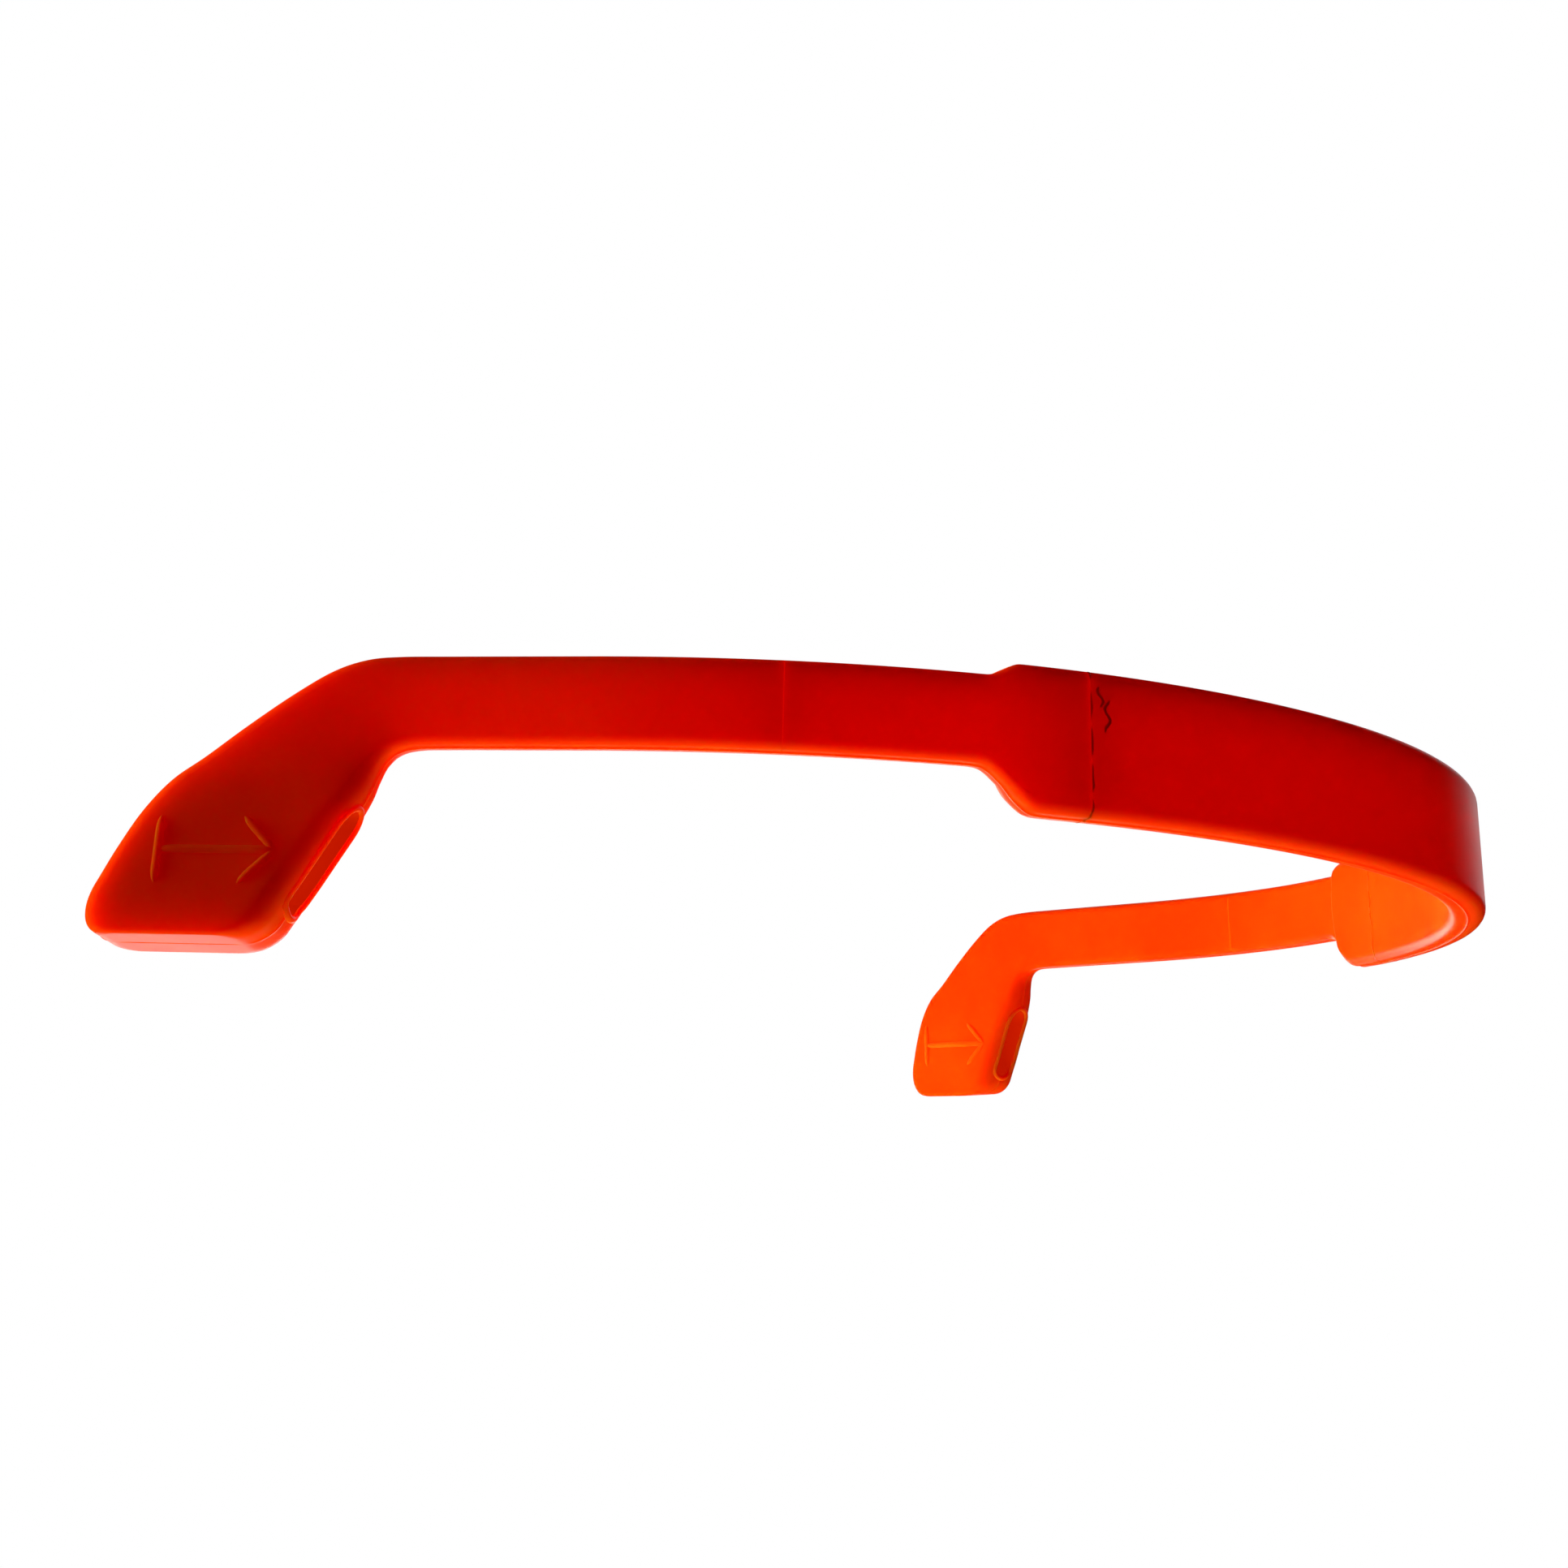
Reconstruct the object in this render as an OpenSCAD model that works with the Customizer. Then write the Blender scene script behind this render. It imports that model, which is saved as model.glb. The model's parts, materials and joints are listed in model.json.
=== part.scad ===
// Strap that holds a pair of spectacles on the head: two hollow temple sleeves on narrow
// side bands, and a wide pad that sits on the back of the head. It is all one soft silicone,
// moulded as a centre band and two arms that are bonded across the pad.
// +Z is up as worn, the pad is at +Y and the wearer looks along -Y, so +X is the wearer's left.
// A place along the strap is an angle from the middle of the pad, on one plan arc, and then a
// distance along the straight end of the limb. Limb parts are drawn in a limb frame: x runs
// forward along the strap, y points out of the head and z is up.

/* [Plan] */
// Radius of the strap's middle line round the back of the head
plan_r = 66.5; // [60:0.5:72]
// Angle from the middle of the pad to where each limb runs straight
arc_end = 73; // [70:1:76]
// Lean of each sleeve, its lower end outwards
sleeve_lean = 6; // [0:0.5:8]

/* [Side bands] */
// Height of a side band
band_h = 6.5; // [5.5:0.1:7]
// Thickness of a side band
band_t = 2.6; // [2.2:0.1:3]
// Radius along a side band's edges
band_round = 0.7; // [0.3:0.1:0.9]

/* [Back pad] */
// Height of the pad above the side band's middle line
pad_up = 4.3; // [4:0.1:5]
// Depth of the pad below the side band's middle line
pad_down = 6.5; // [6:0.1:7.5]
// Thickness of the pad, which steps inwards from the side band
pad_t = 3.2; // [3:0.1:3.6]
// Radius along the pad's edges
pad_round = 0.9; // [0.4:0.1:1.2]
// Angle at which the pad's upper edge ends
pad_end_angle = 46.6; // [44:0.1:47.5]
// Distance along the strap from the bond to the end of the pad's upper edge
bond_back = 6; // [4:0.5:9]
// Width of the bond's film along the strap
bond_w = 0.3; // [0.2:0.05:0.5]
// Height of the bond's bead over the pad's faces
bond_proud = 0.08; // [0.05:0.01:0.15]

/* [Temple sleeves] */
// Thickness of a sleeve
sleeve_t = 6.4; // [5.8:0.1:7]
// Radius of the sleeve's lower corners
sleeve_corner = 1.6; // [1:0.1:2]
// Width of the slot that a temple arm goes through
slot_w = 2.8; // [2.2:0.1:3.2]
// Height of that slot
slot_h = 7.5; // [6.5:0.1:8]
// Height of the slot's middle below the side band's middle line
slot_drop = 11.8; // [11.5:0.1:12]
// Width of the raised lip round each mouth of the slot
lip_w = 0.6; // [0.4:0.1:0.8]
// Height of that lip over the sleeve's edge
lip_proud = 0.35; // [0.2:0.05:0.5]
// Width of the lines of the direction mark
mark_line = 0.6; // [0.4:0.1:0.8]
// Height of the direction mark over the sleeve's face
mark_proud = 0.2; // [0.1:0.05:0.3]

/* [Flex points] */
// How far each flex knuckle stays inside the strap's thickness, and its room outside it
knuckle_gap = 0.04; // [0.02:0.01:0.05]
// Largest turn of a knuckle that the relief beside it allows
relief_angle = 34; // [30:1:40]
// Distance of the shoulder knuckle beyond the pad's end
shoulder_knuckle = 3.4; // [3:0.1:5]

/* [Hidden] */
$fn = 48;

SILICONE = [0.78, 0.09, 0.01];
BOND = [0.86, 0.16, 0.03];

// One millimetre along the plan arc, as an angle
deg_per_mm = 180 / (PI * plan_r);
bond_angle = pad_end_angle - bond_back * deg_per_mm;
half_bond = bond_w / 2 * deg_per_mm;
shoulder_angle = pad_end_angle + shoulder_knuckle * deg_per_mm;
// The pad's middle, as a distance out from the strap's middle line
pad_out = (band_t - pad_t) / 2;
pad_h = pad_up + pad_down;
pad_mid = (pad_up - pad_down) / 2;

// Points of the limb's side view, [forward, up]: the neck leaves the band, turns down and
// meets the sleeve at its two kinks, and the sleeve's lower corners are round
neck_top = [15.2, band_h / 2];
neck_turn = [18.2, 2.2];
front_kink = [29.6, -6.7];
rear_kink = [15.5, -7.2];
neck_inner = [14.4, -band_h / 2];
front_corner = [35.5, -17.3];
rear_corner = [21.7, -17.9];
split_z = -7;

// Unit vector from a to b
function unit(a, b) = (b - a) / norm(b - a);
// Half of the angle that a corner p makes with its neighbours a and b
function half_angle(p, a, b) = acos(unit(p, a) * unit(p, b)) / 2;
// Where a rounding of the sleeve's lower corner p towards a begins
function round_start(p, a, b) = p + unit(p, a) * sleeve_corner / tan(half_angle(p, a, b));
// Middle of that rounding
function round_middle(p, a, b) =
    p + unit([0, 0], unit(p, a) + unit(p, b)) * sleeve_corner / sin(half_angle(p, a, b));

front_middle = round_middle(front_corner, front_kink, rear_corner);
rear_middle = round_middle(rear_corner, rear_kink, front_corner);
front_edge_end = round_start(front_corner, front_kink, rear_corner);
rear_edge_end = round_start(rear_corner, rear_kink, front_corner);

// Points of a rounding with that middle, from point a round to point b, clockwise
corner_steps = 10;
function rounding(middle, a, b) =
    let (start = atan2(a[1] - middle[1], a[0] - middle[0]))
    let (end = atan2(b[1] - middle[1], b[0] - middle[0]))
    let (turn = (end - start - 360) % 360)
    [for (i = [0:corner_steps])
        middle + sleeve_corner * [cos(start + turn * i / corner_steps),
                                  sin(start + turn * i / corner_steps)]];

// The part's lowest and foremost points, which place its origin
low_z = (rear_middle[1] - sleeve_corner) * cos(sleeve_lean) - sleeve_t / 2 * sin(sleeve_lean);
front_reach = front_middle[0] + sleeve_corner;
front_in = sleeve_t / 2 * cos(sleeve_lean) + front_middle[1] * sin(sleeve_lean);
front_y = plan_r * (cos(arc_end) - 1) - front_reach * sin(arc_end) - front_in * cos(arc_end);
mid_y = (front_y + band_t / 2) / 2;

module place() translate([0, -mid_y, -low_z]) children();

module left_side() place() children();
module right_side() place() mirror([1, 0, 0]) children();

// Ring of the plan arc from one angle to another, with the profile's x as distance outwards
module arc_run(from, to) {
    translate([0, -plan_r, 0])
        rotate_extrude(start = 90 - to, angle = to - from, $fn = 180)
            translate([plan_r, 0]) children();
}

// Frame at an angle of the plan arc
module at_angle(a) {
    translate([plan_r * sin(a), plan_r * (cos(a) - 1), 0]) rotate([0, 0, -a]) children();
}

// Frame at the start of the limb's straight end
module at_limb() at_angle(arc_end) children();

module round_rect(w, h, r) {
    square([w - 2 * r, h], center = true);
    square([w, h - 2 * r], center = true);
    for (x = [-1, 1], y = [-1, 1])
        translate([x * (w / 2 - r), y * (h / 2 - r)]) circle(r);
}

module band_profile() round_rect(band_t, band_h, band_round);
module pad_profile(extra = 0) {
    translate([pad_out, pad_mid])
        round_rect(pad_t + 2 * extra, pad_h + 2 * extra, pad_round + extra);
}

// Extrudes a side view drawn in [forward, up] across the limb
module across(t) rotate([90, 0, 0]) linear_extrude(t, center = true) children();

// Room that a knuckle of thickness t and what it carries need, towards +x
module knuckle_room(t, h, middle) {
    r = t / 2 + knuckle_gap;
    translate([0, 0, middle - h / 2]) linear_extrude(h) {
        circle(r);
        for (turn = [-1, 1]) rotate(turn * relief_angle) translate([0, -r]) square([6, 2 * r]);
    }
}

module knuckle(t, h, middle) {
    translate([0, 0, middle - h / 2]) cylinder(h = h, d = t - 2 * knuckle_gap);
}

// Half of the pad's middle. The left half carries the knuckle and the right half its room.
module centre_half(knuckled) {
    if (knuckled) {
        arc_run(0, bond_angle - half_bond) pad_profile();
        translate([0, pad_out, 0]) knuckle(pad_t, pad_h - 2 * pad_round, pad_mid);
    } else {
        difference() {
            arc_run(0, bond_angle - half_bond) pad_profile();
            translate([0, pad_out, 0])
                mirror([1, 0, 0]) knuckle_room(pad_t, pad_h + 2, pad_mid);
        }
    }
}

module bond_seam() {
    arc_run(bond_angle - half_bond, bond_angle + half_bond) pad_profile(bond_proud);
}

// Pad's end: it tapers to the side band and ends in the room for the shoulder knuckle
module pad_end() {
    reach = 2 * bond_back;
    top_end = 1.9;
    low_start = -1.1;
    low_end = 2.3;
    difference() {
        union() {
            intersection() {
                arc_run(bond_angle + half_bond, pad_end_angle + low_end * deg_per_mm) pad_profile();
                at_angle(pad_end_angle) across(4 * pad_t) polygon([
                    [-reach, pad_up + 1], [0, pad_up + 1], [0, pad_up], [top_end, band_h / 2],
                    [low_end, band_h / 2], [low_end, -band_h / 2], [low_start, -pad_down],
                    [low_start, -pad_down - 1], [-reach, -pad_down - 1]
                ]);
            }
            arc_run(pad_end_angle, shoulder_angle) band_profile();
        }
        at_angle(shoulder_angle) knuckle_room(band_t, band_h + 1, 0);
    }
}

// Side band: the rest of the plan arc, with a knuckle at each end
module side_band() {
    arc_run(shoulder_angle, arc_end) band_profile();
    for (a = [shoulder_angle, arc_end])
        at_angle(a) knuckle(band_t, band_h - 2 * band_round, 0);
}

// Side view of the limb's straight end, from the neck knuckle to the sleeve's lower edge
module limb_side() {
    bottom_front = round_start(front_corner, rear_corner, front_kink);
    bottom_rear = round_start(rear_corner, front_corner, rear_kink);
    polygon(concat(
        [[0, band_h / 2], neck_top, neck_turn, front_kink],
        rounding(front_middle, front_edge_end, bottom_front),
        rounding(rear_middle, bottom_rear, rear_edge_end),
        [rear_kink, neck_inner, [0, -band_h / 2]]
    ));
}

// Front view of the limb: as thin as the band down to the neck, then swelling to the sleeve
module limb_front() {
    band_half = band_t / 2;
    sleeve_half = sleeve_t / 2;
    polygon([
        [-band_half, band_h], [band_half, band_h], [band_half, -band_h / 2],
        [sleeve_half, split_z], [sleeve_half, -2 * slot_drop],
        [-sleeve_half, -2 * slot_drop], [-sleeve_half, split_z], [-band_half, -band_h / 2]
    ]);
}

module limb_solid() {
    intersection() {
        across(2 * sleeve_t) limb_side();
        rotate([90, 0, 90]) linear_extrude(2 * front_reach) limb_front();
    }
}

// Everything of the limb frame below the line where the sleeve begins
module below_split() translate([0, -20, split_z - 40]) cube([60, 40, 40]);

module neck() {
    at_limb() difference() {
        rotate([sleeve_lean, 0, 0]) difference() {
            limb_solid();
            below_split();
        }
        mirror([1, 0, 0]) knuckle_room(band_t, 2 * band_h, 0);
    }
}

// Passage along the limb with straight sides and round ends
module slot_passage(extra) {
    w = slot_w + 2 * extra;
    h = slot_h + 2 * extra;
    translate([0, 0, -slot_drop]) rotate([90, 0, 90]) linear_extrude(60) {
        square([w, h - w], center = true);
        for (end = [-1, 1]) translate([0, end * (h - w) / 2]) circle(d = w);
    }
}

module sleeve() {
    at_limb() rotate([sleeve_lean, 0, 0]) difference() {
        intersection() {
            limb_solid();
            below_split();
        }
        slot_passage(0);
    }
}

// Raised lip round a mouth of the slot, on the sleeve's edge from a to b, to the left of that
// direction
module mouth_lip(a, b) {
    along = unit(a, b);
    proud = lip_proud * [-along[1], along[0]];
    at_limb() rotate([sleeve_lean, 0, 0]) intersection() {
        across(sleeve_t) polygon([a, a + proud, b + proud, b]);
        difference() {
            slot_passage(lip_w);
            slot_passage(0);
        }
    }
}

module rear_lip() mouth_lip(rear_edge_end, rear_kink);
module front_lip() mouth_lip(front_kink, front_edge_end);

// Direction mark: an arrow along the way the temple arm goes in, with a bar at its tail
module arrow_mark() {
    shaft = 10;
    head = 2.4;
    mark_stroke([0, 0], [shaft, 0]);
    for (side = [-1, 1]) mark_stroke([0, 0], [head, side * head]);
    mark_stroke([shaft, -head], [shaft, head]);
}

module mark_stroke(a, b) {
    translate(a) rotate(atan2(b[1] - a[1], b[0] - a[0]))
        translate([0, -mark_line / 2]) square([norm(b - a), mark_line]);
    for (end = [a, b]) translate(end) circle(d = mark_line);
}

// side is 1 on the sleeve's outer face and -1 on its inner face
module face_mark(side) {
    tail = [19.6, -11.6];
    at_limb() rotate([sleeve_lean, 0, 0])
        translate([tail[0], side * (sleeve_t + mark_proud) / 2, tail[1]])
            across(mark_proud) arrow_mark();
}

module centre_band_left() color(SILICONE) left_side() centre_half(true);
module centre_band_right() color(SILICONE) right_side() centre_half(false);
module left_bond_seam() color(BOND) left_side() bond_seam();
module right_bond_seam() color(BOND) right_side() bond_seam();
module left_pad_end() color(SILICONE) left_side() pad_end();
module right_pad_end() color(SILICONE) right_side() pad_end();
module left_side_band() color(SILICONE) left_side() side_band();
module right_side_band() color(SILICONE) right_side() side_band();
module left_neck() color(SILICONE) left_side() neck();
module right_neck() color(SILICONE) right_side() neck();
module left_sleeve() color(SILICONE) left_side() sleeve();
module right_sleeve() color(SILICONE) right_side() sleeve();
module left_rear_lip() color(BOND) left_side() rear_lip();
module right_rear_lip() color(BOND) right_side() rear_lip();
module left_front_lip() color(BOND) left_side() front_lip();
module right_front_lip() color(BOND) right_side() front_lip();
module left_outer_mark() color(BOND) left_side() face_mark(1);
module right_outer_mark() color(BOND) right_side() face_mark(1);
module left_inner_mark() color(BOND) left_side() face_mark(-1);
module right_inner_mark() color(BOND) right_side() face_mark(-1);

centre_band_left();
centre_band_right();
left_bond_seam();
right_bond_seam();
left_pad_end();
right_pad_end();
left_side_band();
right_side_band();
left_neck();
right_neck();
left_sleeve();
right_sleeve();
left_rear_lip();
right_rear_lip();
left_front_lip();
right_front_lip();
left_outer_mark();
right_outer_mark();
left_inner_mark();
right_inner_mark();
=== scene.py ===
"""Spectacle strap in one soft, translucent silicone: a wide pad for the back of the head, two
narrow side bands and a hollow sleeve for each temple arm of the spectacles.

A place on the strap is given in millimetres as three numbers: how far along the strap it is from
the middle of the pad, how far out of the head, and how far up from the side bands' middle line.
"""

import json
import math
from functools import partial

import bmesh
import bpy
import numpy as np
from bpy.props import FloatProperty, FloatVectorProperty, PointerProperty
from mathutils import Matrix, Vector


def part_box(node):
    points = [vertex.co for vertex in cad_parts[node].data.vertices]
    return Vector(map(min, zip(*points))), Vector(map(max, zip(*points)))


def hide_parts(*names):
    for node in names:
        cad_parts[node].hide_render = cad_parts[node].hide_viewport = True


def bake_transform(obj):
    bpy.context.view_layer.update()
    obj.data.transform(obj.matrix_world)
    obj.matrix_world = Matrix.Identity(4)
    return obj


bl_info = {
    "name": "Spectacle strap",
    "version": (1, 0, 0),
    "blender": (4, 5, 0),
    "location": "3D View > Sidebar > Strap",
    "description": "Builds a moulded silicone spectacle strap and a plain studio round it",
    "category": "Add Mesh",
}

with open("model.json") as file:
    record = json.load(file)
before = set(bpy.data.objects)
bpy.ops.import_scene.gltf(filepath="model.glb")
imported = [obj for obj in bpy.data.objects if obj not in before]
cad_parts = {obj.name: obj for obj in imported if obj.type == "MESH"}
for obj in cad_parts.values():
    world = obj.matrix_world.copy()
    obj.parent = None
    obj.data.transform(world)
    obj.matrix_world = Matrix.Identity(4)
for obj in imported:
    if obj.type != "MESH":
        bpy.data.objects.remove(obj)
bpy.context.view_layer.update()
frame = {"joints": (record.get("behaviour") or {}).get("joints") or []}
MM = 0.001

# The strap's middle line in plan: one arc through the flex points, then a straight limb
JOINTS = {joint["name"]: Vector(joint["pos_m"]) for joint in frame["joints"]}
SHOULDER = JOINTS["left_limb_flex"]
NECK = JOINTS["left_neck_flex"]
CENTRE_Y = (SHOULDER.xy.length_squared - NECK.xy.length_squared) / (2 * (SHOULDER.y - NECK.y))
RADIUS = math.hypot(NECK.x, NECK.y - CENTRE_Y) / MM
ARC_END = math.atan2(NECK.x, NECK.y - CENTRE_Y)
SHOULDER_ANGLE = math.atan2(SHOULDER.x, SHOULDER.y - CENTRE_Y)
ARC_LENGTH = RADIUS * ARC_END
SHOULDER_LENGTH = RADIUS * SHOULDER_ANGLE
MIDDLE_Z = NECK.z

PAD_LOW, PAD_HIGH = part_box("centre_band_left")
BAND_LOW, BAND_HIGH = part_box("left_side_band")
SEAM_LOW, SEAM_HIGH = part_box("left_bond_seam")
BOND_MIDDLE = (SEAM_LOW + SEAM_HIGH) / 2
BOND_LENGTH = RADIUS * math.atan2(BOND_MIDDLE.x, BOND_MIDDLE.y - CENTRE_Y)

# Each arm is one moulding, modelled in two pieces that meet here, in the middle of a side band
SPLIT_LENGTH = (SHOULDER_LENGTH + ARC_LENGTH) / 2


class StrapSizes(bpy.types.PropertyGroup):
    """Sizes of the mouldings."""

    pad_up: FloatProperty(
        name="Pad above",
        description="Height of the pad's upper edge above the side bands' middle line",
        default=PAD_HIGH.z - MIDDLE_Z,
        unit="LENGTH",
    )
    pad_down: FloatProperty(
        name="Pad below",
        description="Depth of the pad's lower edge below the side bands' middle line",
        default=MIDDLE_Z - PAD_LOW.z,
        unit="LENGTH",
    )
    band_height: FloatProperty(
        name="Band height",
        description="Height of a side band",
        default=BAND_HIGH.z - BAND_LOW.z,
        unit="LENGTH",
    )
    band_thickness: FloatProperty(
        name="Band thickness",
        description="Thickness of a side band",
        default=0.0026,
        unit="LENGTH",
    )
    pad_step: FloatProperty(
        name="Pad step",
        description="How far the pad's inner face stands inwards of a side band's",
        default=0.0006,
        unit="LENGTH",
    )
    sleeve_thickness: FloatProperty(
        name="Sleeve thickness",
        description="Thickness of a temple sleeve",
        default=0.0064,
        unit="LENGTH",
    )
    sleeve_lean: FloatProperty(
        name="Sleeve lean",
        description="Lean of a sleeve, its lower end outwards",
        default=math.radians(6),
        unit="ROTATION",
    )
    slot_width: FloatProperty(
        name="Slot width",
        description="Width of the slot for a temple arm",
        default=0.0028,
        unit="LENGTH",
    )
    slot_height: FloatProperty(
        name="Slot height",
        description="Height of the slot for a temple arm",
        default=0.0075,
        unit="LENGTH",
    )
    slot_drop: FloatProperty(
        name="Slot drop",
        description="Depth of the slot's middle below the side bands' middle line",
        default=0.0118,
        unit="LENGTH",
    )


class StrapFinish(bpy.types.PropertyGroup):
    """Colours and gloss of the silicone."""

    silicone: FloatVectorProperty(
        name="Silicone",
        description="Colour of the silicone where light passes a short way through it",
        default=(1.0, 0.056, 0.0005),
        subtype="COLOR",
        size=3,
        min=0,
        max=1,
    )
    deep_silicone: FloatVectorProperty(
        name="Deep silicone",
        description="Colour of the silicone's slightly denser clouds",
        default=(0.985, 0.039, 0.0003),
        subtype="COLOR",
        size=3,
        min=0,
        max=1,
    )
    bond: FloatVectorProperty(
        name="Bond",
        description="Colour of the bonding silicone squeezed out along each seam",
        default=(1.0, 0.05, 0.0015),
        subtype="COLOR",
        size=3,
        min=0,
        max=1,
    )
    # Painted highlight: the thin raised lines and lips get a lighter, more orange colour than the
    # silicone's for the light they catch; the foot's groove shares it
    mark: FloatVectorProperty(
        name="Thin lines",
        description="Colour of the thin raised lines, the lips and the groove along a foot",
        default=(1.0, 0.1, 0.002),
        subtype="COLOR",
        size=3,
        min=0,
        max=1,
    )
    depth: FloatProperty(
        name="Depth of light",
        description="How far red light spreads inside the silicone",
        default=0.005,
        unit="LENGTH",
    )
    # Painted glow: the faces between joined pieces emit red light of this brightness, which stands
    # in for light carried through the silicone
    painted_carried_light: FloatProperty(
        name="Carried light",
        description="Brightness of the light that reaches the face between two joined pieces",
        default=0.145,
        min=0,
    )
    # Painted shade and glow: the passages' walls get a darker red than the silicone as shade inside
    # the hollow, and glow red at the crossing light's brightness in place of the light that crosses
    # it
    passage: FloatVectorProperty(
        name="Passage",
        description="Colour of the passages' walls",
        default=(0.3, 0.01, 0.0),
        subtype="COLOR",
        size=3,
        min=0,
        max=1,
    )
    painted_crossing_light: FloatProperty(
        name="Crossing light",
        description="Brightness of the light that crosses the passages for the temple arms",
        default=0.36,
        min=0,
    )
    roughness: FloatProperty(
        name="Roughness",
        description="Mean roughness of the moulded skin",
        default=0.34,
        min=0,
        max=1,
        subtype="FACTOR",
    )


class StrapStudio(bpy.types.PropertyGroup):
    """Camera and lights."""

    lens: FloatProperty(
        name="Lens",
        description="Focal length of the camera in millimetres on a 36 mm sensor",
        default=61.53,
    )
    key: FloatProperty(
        name="Key light",
        description="Power of the soft light in front of the wearer",
        default=8.8,
        unit="POWER",
    )
    fill: FloatProperty(
        name="Fill light",
        description="Power of the soft light on the wearer's right, which shines through the strap",
        default=9.6,
        unit="POWER",
    )
    under: FloatProperty(
        name="Under light",
        description="Power of the soft light under the strap",
        default=0.5,
        unit="POWER",
    )
    low_sheen: FloatProperty(
        name="Low sheen",
        description="Power of the low panel that the lower edges mirror",
        default=0.65,
        unit="POWER",
    )
    high_sheen: FloatProperty(
        name="High sheen",
        description="Power of the high panel that the upper edges mirror",
        default=0.4,
        unit="POWER",
    )
    surround: FloatProperty(
        name="Surround",
        description="Brightness of the room as the strap sees it",
        default=0.05,
        min=0,
    )


def sizes():
    return bpy.context.scene.strap_sizes


def smooth(value, start, end):
    """0 before start, 1 after end and a smooth rise between them."""
    t = np.clip((np.asarray(value, float) - start) / (end - start), 0, 1)
    return t * t * (3 - 2 * t)


# ---------------------------------------------------------------- strap's own coordinates


# The pad's lean, as a share of the sleeves'
PAD_LEAN = 0.6


def strap_points(side, places):
    """World points of places on the strap. The left arm's side is 1, the right arm's -1."""
    s, out, up = np.asarray(places, float).reshape(-1, 3).T
    share = PAD_LEAN + (1 - PAD_LEAN) * smooth(s, SHOULDER_LENGTH, ARC_LENGTH)
    lean = sizes().sleeve_lean * share
    across = out * np.cos(lean) - up * np.sin(lean)
    height = out * np.sin(lean) + up * np.cos(lean)
    angle = np.minimum(s, ARC_LENGTH) / RADIUS
    beyond = np.maximum(s - ARC_LENGTH, 0)
    x = (RADIUS + across) * np.sin(angle) + beyond * math.cos(ARC_END)
    y = (RADIUS + across) * np.cos(angle) - beyond * math.sin(ARC_END)
    return np.stack([side * x * MM, y * MM + CENTRE_Y, height * MM + MIDDLE_Z], axis=1)


def strap_point(side, s):
    return Vector(strap_points(side, [(s, 0, 0)])[0])


# Faces that meet more sharply than this keep a crisp edge
SHARP = math.radians(40)


def add_piece(name, points, faces, side=1):
    """Mesh object from world points, its faces turned outwards for that side."""
    if side < 0:
        faces = [tuple(reversed(face)) for face in faces]
    mesh = bpy.data.meshes.new(name)
    mesh.from_pydata([tuple(point) for point in points], [], faces)
    mesh.validate()
    mesh.shade_smooth()
    mesh.set_sharp_from_angle(angle=SHARP)
    piece = bpy.data.objects.new(name, mesh)
    bpy.context.scene.collection.objects.link(piece)
    return piece


def loft_faces(rings, per_ring, closed_loop=False):
    """Quads between rings in order, with a flat end on the first and last ring unless they meet."""
    faces = []
    for i in range(rings if closed_loop else rings - 1):
        low, high = i * per_ring, (i + 1) % rings * per_ring
        for k in range(per_ring):
            nxt = (k + 1) % per_ring
            faces.append((low + k, low + nxt, high + nxt, high + k))
    if not closed_loop:
        last = (rings - 1) * per_ring
        faces.append(tuple(reversed(range(per_ring))))
        faces.append(tuple(last + k for k in range(per_ring)))
    return faces


# ---------------------------------------------------------------- cross-sections

FACE_STEPS = 14
ROUND_STEPS = 6
# Places over an edge's flat, 1 at the outer face and -1 at the inner, closer at the parting line
EDGE_STEPS = (0.72, 0.42, 0.2, 0.08, 0, -0.08, -0.2, -0.42, -0.72)
# Flash left along the parting line where the mould's halves met, and how far it reaches across
PARTING_HEIGHT = 0.1
PARTING_REACH = 0.09


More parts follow.
